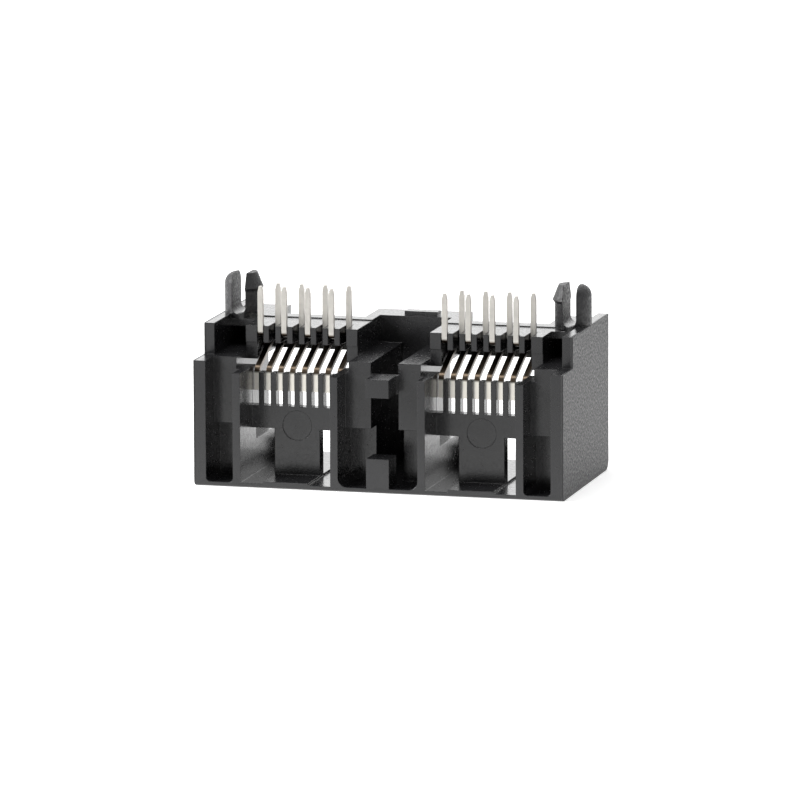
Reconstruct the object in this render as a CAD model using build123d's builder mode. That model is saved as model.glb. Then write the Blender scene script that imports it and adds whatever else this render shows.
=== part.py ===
"""Two-port ethernet jack for a circuit board, lying as it was photographed: tails and pegs up.

Millimetres. X runs across both ports, the open back faces -Y, the plug openings face +Y and Z = 0 is the
face that the jack rests on. Every depth is measured from the back face towards the plug openings, every
height from Z = 0.
"""
import os
from math import radians, tan

from build123d import *

# Block
depth = 15.8
height = 13.2
back_height = 10.57
back_step = 3.33
floor = 0.42
floor_pad = 0.18
back_corner = 0.5
front_corner = 0.9
edge_round = 0.07

# Board side: the side walls stand proud of the rest and seat on the board
side_wall = 0.9
seat_height = 0.34
shut_off_depth = 10.0
shut_off_step = 0.08

# Ports
port_pitch = 15.84
plug_width = 11.7
plug_height = 6.65
roof = 9.96
front_roof = 11.85

# Latch side of each port
chamber_clearance = 0.07
keyway_width = 6.2
keyway_height = 1.45
latch_slot_width = 4.0
latch_stop = 2.0

# Panel between the open back and the plug space
panel_depth = 3.77
panel_thickness = 1.08
strip_low = 4.45
column_width = 3.9
pin_mark = 2.5
pin_mark_depth = 0.05
pin_mark_height = 4.75

# Contacts, and the lower comb that parts their free ends
ways = 8
pitch = 1.02
wire_width = 0.45
wire_thickness = 0.32
comb_clearance = 0.055
comb_low = 6.33
comb_high = 9.1

# Upper comb, where the tails stand
block_depth = 5.29
block_end = 11.43
block_width = 9.66
block_low = 11.36
leg_set_back = 0.15
row_depth = 5.45
row_spacing = 1.78
tail_height = 16.1
tail_taper = 0.5
tail_tip = 0.22
run_height = 12.0
bend_radius = 0.36
bend_space = 0.3
spring_angle = 22.6
spring_depth = 4.35
spring_height = 9.33
free_depth = 4.3
free_height = 7.55
free_radius = 0.5

# Pockets in the back
pocket_depth = 2.4
divider = 0.64
divider_height = 9.6
side_pocket = 2.325
low_side_wall = 1.05
low_pocket_depth = 4.1
low_pocket_height = 5.0
side_pocket_round = 0.38
middle_pocket_round = 0.8

# Middle, between the ports
middle_slot = 2.36
web_gap = 6.24
post_width = 1.94
post_height = 2.9
nose_low = 8.02
nose_height = 1.53
nose_depth = 2.3
nose_wall = 0.7
front_wall = 3.26
bar_width = 2.85
bar_depth = 1.1
bar_offset = 0.3
bar_set_back = 0.5

# Side spaces under the pegs
side_front_wall = 1.2
peg_plate = 0.68

# Split pegs, heights from the board face that they stand on
peg_centre = 14.24
peg_depth = 9.8
peg_radius = 1.54
peg_height = 3.72
peg_root = 0.3
barb = 0.19
barb_height = 2.44
barb_under = 0.25
barb_tip_radius = 1.22
dome_radius = 0.95
peg_slot = 1.16
peg_slot_low = 0.3

# Places worked out from the sizes above
comb_slot = wire_width + 2 * comb_clearance
chamber_width = pitch * (ways - 1) + wire_width + 2 * chamber_clearance
width = port_pitch + chamber_width + 2 * (divider + side_pocket + low_side_wall)
port_centres = (-port_pitch / 2, port_pitch / 2)
board_face = height - seat_height
plug_low = roof - plug_height
plug_start = panel_depth + panel_thickness
seat_inner = width / 2 - side_wall
block_inner = pitch * (ways - 1) + comb_slot
way_offsets = [pitch * (way - (ways - 1) / 2) for way in range(ways)]
run_top = run_height + wire_thickness / 2
apex_depth = spring_depth + (run_height - spring_height) / tan(radians(spring_angle))
bend_front = (
    apex_depth - bend_radius / tan(radians(spring_angle) / 2) + bend_radius + wire_thickness / 2
)
front_wall_start = depth - front_wall


def at_depth(distance):
    """Give Y for a distance from the back face."""
    return distance - depth / 2


def back_view(distance):
    """Give the upright plane at that distance, seen from the back: X to the right, Z up."""
    return Plane.XZ.offset(-at_depth(distance))


def cut(centres, wide, low, high, start, end, low_round=0):
    """Cut a rectangle seen from the back, at each centre, between two depths."""
    with BuildSketch(back_view(start)) as outline:
        with Locations(*[(x, (low + high) / 2) for x in centres]):
            Rectangle(wide, high - low)
        if low_round:
            fillet(outline.vertices().group_by(Axis.Y)[0], low_round)
    extrude(outline.sketch, amount=start - end, mode=Mode.SUBTRACT)


def fill(x, wide, low, high, start, end):
    """Add a rectangle seen from the back, between two depths."""
    with BuildSketch(back_view(start)) as outline:
        with Locations((x, (low + high) / 2)):
            Rectangle(wide, high - low)
    extrude(outline.sketch, amount=start - end)


# Inner half of a peg: a straight shank with a barb that snaps under the board
with BuildPart() as barbed_half:
    with BuildSketch(Plane.XZ):
        with BuildLine():
            Polyline(
                (0, -peg_root),
                (peg_radius, -peg_root),
                (peg_radius, barb_height - barb_under),
                (peg_radius + barb, barb_height),
                (barb_tip_radius, peg_height),
                (0, peg_height),
                close=True,
            )
        make_face()
    revolve(axis=Axis.Z)
    split(bisect_by=Plane.YZ, keep=Keep.BOTTOM)

# Outer half of a peg: the same shank with a domed end
with BuildPart() as domed_half:
    with BuildSketch(Plane.XZ) as dome:
        with BuildLine():
            Polyline(
                (0, -peg_root),
                (peg_radius, -peg_root),
                (peg_radius, peg_height),
                (0, peg_height),
                close=True,
            )
        make_face()
        fillet(dome.vertices().sort_by(Axis.X)[-2:].sort_by(Axis.Y)[-1], dome_radius)
    revolve(axis=Axis.Z)
    split(bisect_by=Plane.YZ, keep=Keep.TOP)

# The right peg, with its slot along Y, and the left one as its mirror image
with BuildPart() as right_peg:
    add(barbed_half.part)
    add(domed_half.part)
    with BuildSketch(Plane.XZ):
        with Locations((0, peg_slot_low + peg_slot / 2)):
            Circle(peg_slot / 2)
        with Locations((0, (peg_slot_low + peg_slot / 2 + peg_height) / 2)):
            Rectangle(peg_slot, peg_height - peg_slot_low - peg_slot / 2)
    extrude(amount=peg_radius + barb, both=True, mode=Mode.SUBTRACT)
left_peg = mirror(right_peg.part, about=Plane.YZ)

# Housing: one moulding, made by cutting its spaces from a stepped block
with BuildPart() as housing:
    with BuildSketch(Plane.YZ) as side_view:
        with BuildLine():
            Polyline(
                (at_depth(0), 0),
                (at_depth(depth), 0),
                (at_depth(depth), height),
                (at_depth(back_step), height),
                (at_depth(back_step), back_height),
                (at_depth(0), back_height),
                close=True,
            )
        make_face()
        fillet(side_view.vertices().group_by(Axis.Y)[0].sort_by(Axis.X)[0], back_corner)
        fillet(side_view.vertices().group_by(Axis.Y)[0].sort_by(Axis.X)[-1], front_corner)
    extrude(amount=width / 2, both=True)
    fillet(housing.edges().filter_by(GeomType.LINE).filter_by(Axis.Z), edge_round)

    # Board face, a little lower behind the shut-off line
    seats = 2 * seat_inner
    cut([0], seats, board_face, height, back_step, depth)
    cut([0], seats, board_face - shut_off_step, board_face, back_step, shut_off_depth)

    # Open back of each port, and the gap behind its upper comb
    cut(port_centres, chamber_width, floor, height, 0, panel_depth)
    cut(port_centres, block_width, divider_height, height, 0, block_depth)

    # Panel: a window each side of the column, and the slots of the lower comb
    window_width = (chamber_width - column_width) / 2
    window_offset = (chamber_width - window_width) / 2
    windows = [x + side * window_offset for x in port_centres for side in (-1, 1)]
    slots = [x + offset for x in port_centres for offset in way_offsets]
    cut(windows, window_width, floor, strip_low, panel_depth, plug_start)
    cut(slots, comb_slot, comb_low, divider_height, panel_depth, plug_start)
    cut(port_centres, chamber_width, comb_high, divider_height, panel_depth, plug_start)
    with BuildSketch(back_view(panel_depth)) as mark:
        with Locations(*[(x, pin_mark_height) for x in port_centres]):
            Circle(pin_mark / 2)
    extrude(mark.sketch, amount=-pin_mark_depth, mode=Mode.SUBTRACT)

    # Plug space, latch chamber and keyway, and the channel that the springs lift into
    cut(port_centres, plug_width, plug_low, roof, plug_start, depth)
    cut(port_centres, chamber_width, floor, plug_low, plug_start, depth - latch_stop)
    cut(port_centres, keyway_width, plug_low - keyway_height, plug_low, depth - latch_stop, depth)
    cut(port_centres, latch_slot_width, floor, plug_low, depth - latch_stop, depth)
    cut(port_centres, block_inner, roof, block_low, block_depth, block_end)

    # Upper comb: a groove for each wire, and a slot for its tail
    cut(slots, comb_slot, block_low, run_top, block_depth, bend_front + bend_space)
    for row in (0, 1):
        tails = [x + offset for x in port_centres for offset in way_offsets[row::2]]
        tail_end = row_depth + row * row_spacing + bend_radius
        cut(tails, comb_slot, run_top, board_face, block_depth, tail_end)
    leg_width = (block_width - block_inner) / 2
    leg_offset = (block_width - leg_width) / 2
    legs = [x + side * leg_offset for x in port_centres for side in (-1, 1)]
    cut(legs, leg_width, roof, block_low, block_depth, block_depth + leg_set_back)

    # Lower roof in front of the upper comb, over the plug openings
    cut(port_centres, block_inner, front_roof, board_face, block_end, depth)

    # Side spaces, open to the board side up to the plate that carries each peg
    port_edge = port_pitch / 2 + block_width / 2
    side_space = seat_inner - port_edge
    side_centre = (seat_inner + port_edge) / 2
    plate_start = peg_depth - peg_radius
    sides = (-side_centre, side_centre)
    cut(sides, side_space, back_height, height, back_step, plate_start)
    cut(sides, side_space, back_height, board_face - peg_plate, plate_start, depth - side_front_wall)

    # Middle space and the deep slot in its floor
    cut([0], web_gap, back_height, height, back_step, front_wall_start)
    cut([0], middle_slot, floor, height, pocket_depth, front_wall_start)

    # Pockets in the back
    divider_edge = chamber_width / 2 + divider
    pocket_centre = port_pitch / 2 + divider_edge + side_pocket / 2
    middle_pocket = port_pitch - 2 * divider_edge
    pockets = (-pocket_centre, pocket_centre)
    cut(pockets, side_pocket, floor, height, 0, pocket_depth, side_pocket_round)
    cut([0], middle_pocket, floor, height, 0, pocket_depth, middle_pocket_round)
    cut(pockets, side_pocket, floor, low_pocket_height, pocket_depth, low_pocket_depth, side_pocket_round)
    cut([0], middle_pocket, floor, low_pocket_height, pocket_depth, low_pocket_depth, middle_pocket_round)

    # Post, and the nose that bridges the middle slot
    fill(0, post_width, floor, post_height, 0, pocket_depth)
    fill(0, post_width, nose_low, nose_low + nose_height, 0, nose_depth)
    fill(0, middle_slot, nose_low, nose_low + nose_height, nose_depth, nose_depth + nose_wall)

    # Raised strip along the floor of each port
    for x in port_centres:
        fill(x, column_width, floor, floor + floor_pad, 0, depth - latch_stop)

    # Middle seat on the front wall
    bar_start = front_wall_start + bar_set_back
    fill(bar_offset, bar_width, board_face, height, bar_start, bar_start + bar_depth)

    # Pegs
    with Locations((peg_centre, at_depth(peg_depth), board_face)):
        add(right_peg.part)
    with Locations((-peg_centre, at_depth(peg_depth), board_face)):
        add(left_peg)


def make_contact(tail_depth):
    """Make one contact at X = 0: tail, run along its groove, front bend, spring and free end."""
    with BuildPart() as contact:
        with BuildSketch(Plane.YZ):
            with BuildLine() as path:
                FilletPolyline(
                    (at_depth(tail_depth), tail_height),
                    (at_depth(tail_depth), run_height),
                    (at_depth(apex_depth), run_height),
                    (at_depth(spring_depth), spring_height),
                    (at_depth(free_depth), free_height),
                    radius=[bend_radius, bend_radius, free_radius],
                )
            trace(path.line, line_width=wire_thickness)
        extrude(amount=wire_width / 2, both=True)

        # Taper the tail to its tip
        with BuildSketch(Plane.XZ.offset(-at_depth(tail_depth))) as front_view:
            with BuildLine():
                Polyline(
                    (-wire_width / 2, 0),
                    (wire_width / 2, 0),
                    (wire_width / 2, tail_height - tail_taper),
                    (tail_tip / 2, tail_height),
                    (-tail_tip / 2, tail_height),
                    (-wire_width / 2, tail_height - tail_taper),
                    close=True,
                )
            make_face()
        extrude(front_view.sketch, amount=depth, both=True, mode=Mode.INTERSECT)
    return contact.part


os.makedirs("parts", exist_ok=True)

housing.part.label = "housing"
export_step(housing.part, "parts/housing.step")

rows = [make_contact(row_depth), make_contact(row_depth + row_spacing)]
for port, port_x in zip("ab", port_centres):
    for way, offset in enumerate(way_offsets):
        contact = Pos(port_x + offset, 0, 0) * rows[way % 2]
        contact.label = f"contact_{port}{way + 1}"
        export_step(contact, f"parts/{contact.label}.step")
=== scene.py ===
"""Looks of a two-port ethernet jack: camera, light, and the finish of moulding and contacts."""
from math import radians

import bpy
from mathutils import Matrix, Vector

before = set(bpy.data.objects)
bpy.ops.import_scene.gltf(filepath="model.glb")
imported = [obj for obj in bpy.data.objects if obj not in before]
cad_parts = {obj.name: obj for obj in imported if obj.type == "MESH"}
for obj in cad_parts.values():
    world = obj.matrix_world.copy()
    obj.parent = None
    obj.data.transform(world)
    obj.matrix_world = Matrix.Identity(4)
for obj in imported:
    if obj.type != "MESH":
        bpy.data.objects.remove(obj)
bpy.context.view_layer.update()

MM = 0.001
scene = bpy.context.scene
scene.view_settings.view_transform = "Standard"

# Sockets of the Mix node, which has one set for colours and one for numbers
COLOUR_A, COLOUR_B, COLOUR_OUT = 6, 7, 2
NUMBER_A, NUMBER_B, NUMBER_OUT = 2, 3, 0

NOISE_RANGE = (0.3, 0.7)  # where most of a noise's values lie


def linear(hex_colour):
    """Turn an sRGB hex colour into linear red, green, blue and alpha."""
    channels = [int(hex_colour[i:i + 2], 16) / 255 for i in (1, 3, 5)]
    return [c / 12.92 if c <= 0.04045 else ((c + 0.055) / 1.055) ** 2.4 for c in channels] + [1.0]


WHITE = linear("#FFFFFF")


def add_node(tree, kind, settings=None, inputs=None):
    """Add a node, set its properties, and fill each input with a value or a link."""
    node = tree.nodes.new(kind)
    for name, value in (settings or {}).items():
        setattr(node, name, value)
    for name, value in (inputs or {}).items():
        if isinstance(value, bpy.types.NodeSocket):
            tree.links.new(value, node.inputs[name])
        else:
            node.inputs[name].default_value = value
    return node


def combine(tree, operation, *values):
    """Join numbers or links with one math operation."""
    return add_node(tree, "ShaderNodeMath", {"operation": operation},
                    dict(enumerate(values))).outputs[0]


def spread(tree, value, start, end, low=0.0, high=1.0):
    """Carry a value from start..end over to low..high, and hold it past both."""
    return add_node(tree, "ShaderNodeMapRange", None,
                    {"Value": value, "From Min": start, "From Max": end,
                     "To Min": low, "To Max": high}).outputs[0]


def blend_colours(tree, factor, first, second):
    """Mix two colours by a factor."""
    return add_node(tree, "ShaderNodeMix", {"data_type": "RGBA"},
                    {"Factor": factor, COLOUR_A: first, COLOUR_B: second}).outputs[COLOUR_OUT]


def blend_numbers(tree, factor, first, second):
    """Mix two numbers by a factor."""
    return add_node(tree, "ShaderNodeMix", {"data_type": "FLOAT"},
                    {"Factor": factor, NUMBER_A: first, NUMBER_B: second}).outputs[NUMBER_OUT]


def noise(tree, place, spot_mm, detail, roughness=0.5):
    """Make noise whose spots are about that many millimetres across."""
    return add_node(tree, "ShaderNodeTexNoise", None,
                    {"Vector": place, "Scale": 1 / (spot_mm * MM),
                     "Detail": detail, "Roughness": roughness}).outputs["Fac"]


def place_and_axes(tree, coordinates="Object"):
    """Give the place on the piece, and its X, Y and Z apart."""
    place = add_node(tree, "ShaderNodeTexCoord").outputs[coordinates]
    return place, add_node(tree, "ShaderNodeSeparateXYZ", None, {0: place}).outputs


def rounded_edges(tree, radius_mm):
    """Give normals that round each edge by a small radius."""
    return add_node(tree, "ShaderNodeBevel", {"samples": 4}, {"Radius": radius_mm * MM}).outputs[0]


def relief(tree, height, depth_mm, normal):
    """Give normals for a relief of that depth, on top of other normals."""
    return add_node(tree, "ShaderNodeBump", None,
                    {"Strength": 1.0, "Distance": depth_mm * MM,
                     "Height": height, "Normal": normal}).outputs[0]


def blank_material(name):
    """Start a material with nothing in it but its output."""
    material = bpy.data.materials.new(name)
    material.use_nodes = True
    material.node_tree.nodes.clear()
    output = material.node_tree.nodes.new("ShaderNodeOutputMaterial")
    return material, material.node_tree, output


# Camera: a long lens, a little to the right of the open back and a little above it
CAMERA_PLACE = Vector((195.3, -726.3, 138.3)) * MM
CAMERA_TURN = 15.06
CAMERA_TILT = 80.06
CAMERA_ROLL = -0.22
LENS = 411.9
SENSOR = 36
NEAREST_SEEN = 10 * MM

camera_data = bpy.data.cameras.new("camera")
camera_data.lens = LENS
camera_data.sensor_width = SENSOR
camera_data.clip_start = NEAREST_SEEN
camera = bpy.data.objects.new("camera", camera_data)
camera.matrix_world = (
    Matrix.Translation(CAMERA_PLACE)
    @ Matrix.Rotation(radians(CAMERA_TURN), 4, "Z")
    @ Matrix.Rotation(radians(CAMERA_TILT), 4, "X")
    @ Matrix.Rotation(radians(CAMERA_ROLL), 4, "Z")
)
scene.collection.objects.link(camera)
scene.camera = camera

LAMPS_AIM = Vector((0, 0, 8)) * MM


def softbox(name, place_mm, wide_mm, high_mm, watts):
    """Hang a soft lamp that faces the jack."""
    lamp_data = bpy.data.lights.new(name, "AREA")
    lamp_data.shape = "RECTANGLE"
    lamp_data.size = wide_mm * MM
    lamp_data.size_y = high_mm * MM
    lamp_data.energy = watts
    lamp = bpy.data.objects.new(name, lamp_data)
    place = Vector(place_mm) * MM
    facing = (LAMPS_AIM - place).to_track_quat("-Z", "Y").to_matrix().to_4x4()
    lamp.matrix_world = Matrix.Translation(place) @ facing
    scene.collection.objects.link(lamp)


softbox("overhead_softbox", place_mm=(-60, 60, 520), wide_mm=420, high_mm=420, watts=2.2)
softbox("left_front_softbox", place_mm=(-270, -150, 170), wide_mm=160, high_mm=160, watts=2.0)
softbox("back_softbox", place_mm=(-220, 700, 190), wide_mm=1000, high_mm=340, watts=1.1)

# The room: white to the eye, and mirrored as white behind the jack and as grey behind the camera
BACKDROP = 1.0
FILL = 0.25
GREY_BEHIND_CAMERA = 0.2
GREY_UP_TO, WHITE_FROM = -0.6, 0.1  # of a direction's Y, where -1 is the camera's side


def white_studio():
    """Make the room, in which the eye, mirrors and matt faces each see their own strength."""
    world = bpy.data.worlds.new("white_studio")
    world.use_nodes = True
    room = world.node_tree
    room.nodes.clear()
    rays = add_node(room, "ShaderNodeLightPath").outputs
    _, direction = place_and_axes(room, "Generated")
    mirrored = spread(room, direction["Y"], GREY_UP_TO, WHITE_FROM, GREY_BEHIND_CAMERA, BACKDROP)

    def light(strength):
        return add_node(room, "ShaderNodeBackground", None,
                        {"Color": WHITE, "Strength": strength}).outputs[0]

    def choose(factor, otherwise, chosen):
        return add_node(room, "ShaderNodeMixShader", None,
                        {0: factor, 1: otherwise, 2: chosen}).outputs[0]

    seen = combine(room, "MAXIMUM", rays["Is Camera Ray"], rays["Is Transmission Ray"])
    unseen = choose(rays["Is Glossy Ray"], light(FILL), light(mirrored))
    add_node(room, "ShaderNodeOutputWorld", None,
             {"Surface": choose(seen, unseen, light(BACKDROP))})
    return world


scene.world = white_studio()

# The floor: its glow lifts lit paper to white, for the eye and in a mirror
FLOOR_REACH = 6.0
PAPER_GLOW = 0.6
NEAR_GLOW = 0.15
NEAR_MM, FAR_MM = -60, 10  # along Y, away from the camera: the mirrored paper brightens


def white_sweep_paper():
    """Matt white paper: white to the eye, and in a mirror painted darker on the camera's side of
    the jack, as painted shade.
    """
    material, tree, output = blank_material("white_sweep_paper")
    rays = add_node(tree, "ShaderNodeLightPath").outputs
    _, axes = place_and_axes(tree)
    mirrored = spread(tree, axes["Y"], NEAR_MM * MM, FAR_MM * MM, NEAR_GLOW, PAPER_GLOW)

    # Painted shade: in a mirror the near paper is painted a darker grey, by as much as its glow
    # falls short
    shortfall = combine(tree, "SUBTRACT", PAPER_GLOW, mirrored)
    mirrored_painted_shade = combine(tree, "MULTIPLY", rays["Is Glossy Ray"], shortfall)
    colour = blend_colours(tree, mirrored_painted_shade, linear("#E6E6E6"), linear("#606060"))
    paper = add_node(tree, "ShaderNodeBsdfDiffuse", None, {"Color": colour})

    seen = combine(tree, "MAXIMUM", rays["Is Camera Ray"], rays["Is Transmission Ray"])
    to_eye = combine(tree, "MULTIPLY", seen, PAPER_GLOW)
    strength = combine(tree, "MULTIPLY_ADD", rays["Is Glossy Ray"], mirrored, to_eye)
    glow = add_node(tree, "ShaderNodeEmission", None, {"Color": WHITE, "Strength": strength})
    both = add_node(tree, "ShaderNodeAddShader", None, {0: paper.outputs[0], 1: glow.outputs[0]})
    tree.links.new(both.outputs[0], output.inputs["Surface"])
    return material


floor_mesh = bpy.data.meshes.new("floor")
floor_mesh.from_pydata(
    [(x * FLOOR_REACH, y * FLOOR_REACH, 0) for x, y in ((-1, -1), (1, -1), (1, 1), (-1, 1))],
    [], [(0, 1, 2, 3)])
floor = bpy.data.objects.new("floor", floor_mesh)
floor.data.materials.append(white_sweep_paper())
scene.collection.objects.link(floor)

# Moulding, in mm: the grained ends start just inside the outer faces, the pegs at the board face
END_STARTS, END_FULL = 15.6, 15.75
PEG_STARTS, PEG_FULL = 13.2, 13.5
SHEEN_SPOT = 0.3
FLOW_SPOT = 4.0
GRAIN_SPOT = 0.2
GRAIN_DEPTH = 0.06
SMOOTH_SHARE = 0.06  # of the grain's depth that is left on the smooth faces
SMOOTH_ROUGHNESS = (0.18, 0.28)
GRAINED_ROUGHNESS = (0.3, 0.7)
GRAIN_RANGE = (0.35, 0.65)  # of noise, which turns into the roughness above
MOULD_EDGE = 0.09
POLYESTER_IOR = 1.57


def moulded_black_polyester():
    """Glass-filled polyester: near black and satin, grained on its two ends and its pegs."""
    material, tree, output = blank_material("moulded_black_polyester")
    place, axes = place_and_axes(tree)

    # The mould's ends and peg holes were spark eroded, so the outer side faces and pegs are grained
    from_middle = combine(tree, "ABSOLUTE", axes["X"])
    end_face = spread(tree, from_middle, END_STARTS * MM, END_FULL * MM)
    peg = spread(tree, axes["Z"], PEG_STARTS * MM, PEG_FULL * MM)
    grained = combine(tree, "MAXIMUM", end_face, peg)

    # Colour: flow marks drift between two near blacks
    flow = noise(tree, place, FLOW_SPOT, detail=2.0)
    colour = blend_colours(tree, flow, linear("#161618"), linear("#1F1F20"))

    # Gloss: glass fibres near the skin give the smooth faces a fine uneven sheen
    sheen = noise(tree, place, SHEEN_SPOT, detail=3.0, roughness=0.6)
    grain = noise(tree, place, GRAIN_SPOT, detail=3.0, roughness=0.6)
    smooth_gloss = spread(tree, sheen, *NOISE_RANGE, *SMOOTH_ROUGHNESS)
    grained_gloss = spread(tree, grain, *GRAIN_RANGE, *GRAINED_ROUGHNESS)
    gloss = blend_numbers(tree, grained, smooth_gloss, grained_gloss)

    # Relief: the grain at its full depth on the grained faces, and a trace of it elsewhere
    share = spread(tree, grained, 0.0, 1.0, low=SMOOTH_SHARE)
    height = combine(tree, "MULTIPLY", grain, share)
    normal = relief(tree, height, GRAIN_DEPTH, rounded_edges(tree, MOULD_EDGE))
    plastic = add_node(tree, "ShaderNodeBsdfPrincipled", None,
                       {"Base Color": colour, "Roughness": gloss,
                        "Normal": normal, "IOR": POLYESTER_IOR})
    tree.links.new(plastic.outputs[0], output.inputs["Surface"])
    return material


# Contacts, in mm: by height, tin above the first pair, a spring painted dark brown as painted
# shade, and an end below all painted pale as a painted highlight
TAIL_STARTS, TAIL_FULL = 12.1, 12.3
# Heights where the end's pale painted highlight gives way to the spring's dark painted shade
SHADED_SPRING_STARTS, SHADED_SPRING_FULL = 8.95, 9.15
LINE_APART = 0.07
LINE_DEPTH = 0.003
LINE_STRETCH = 0.12
SPOT = 0.35
WIRE_EDGE = 0.05
SPRING_ROUGHNESS = 0.3
TIN_ROUGHNESS = (0.32, 0.5)


def plated_contact_wire():
    """Drawn phosphor bronze wire: grey tin on the tails, springs painted dark brown as painted
    shade, free ends painted pale as a painted highlight.
    """
    material, tree, output = blank_material("plated_contact_wire")
    place, axes = place_and_axes(tree)
    tail = spread(tree, axes["Z"], TAIL_STARTS * MM, TAIL_FULL * MM)
    shaded_spring = spread(tree, axes["Z"], SHADED_SPRING_STARTS * MM, SHADED_SPRING_FULL * MM)

    # Drawing the wire leaves faint lines along it
    stretched = add_node(tree, "ShaderNodeMapping", None,
                         {"Vector": place, "Scale": (1.0, LINE_STRETCH, LINE_STRETCH)}).outputs[0]
    lines = noise(tree, stretched, LINE_APART, detail=2.0)
    spots = noise(tree, place, SPOT, detail=3.0)

    # Colour: tin above, then the spring painted dark brown as painted shade, then the end painted
    # pale as a painted highlight
    tin = blend_colours(tree, spots, linear("#C4C1BB"), linear("#D8D5CF"))
    lit_end_and_shaded_spring = blend_colours(tree, shaded_spring, linear("#F2EEE4"), linear("#5A4F43"))
    colour = blend_colours(tree, tail, lit_end_and_shaded_spring, tin)

    # Gloss: the tin is duller than the spring, and unevenly so
    wear = spread(tree, spots, *NOISE_RANGE, *TIN_ROUGHNESS)
    gloss = blend_numbers(tree, tail, SPRING_ROUGHNESS, wear)
    normal = relief(tree, lines, LINE_DEPTH, rounded_edges(tree, WIRE_EDGE))
    metal = add_node(tree, "ShaderNodeBsdfPrincipled", None,
                     {"Base Color": colour, "Metallic": 1.0, "Roughness": gloss, "Normal": normal})
    tree.links.new(metal.outputs[0], output.inputs["Surface"])
    return material


finishes = {"housing": moulded_black_polyester(), "contact": plated_contact_wire()}
for name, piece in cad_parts.items():
    finish = finishes[name.split("_")[0]]
    piece.data.materials.clear()
    piece.data.materials.append(finish)
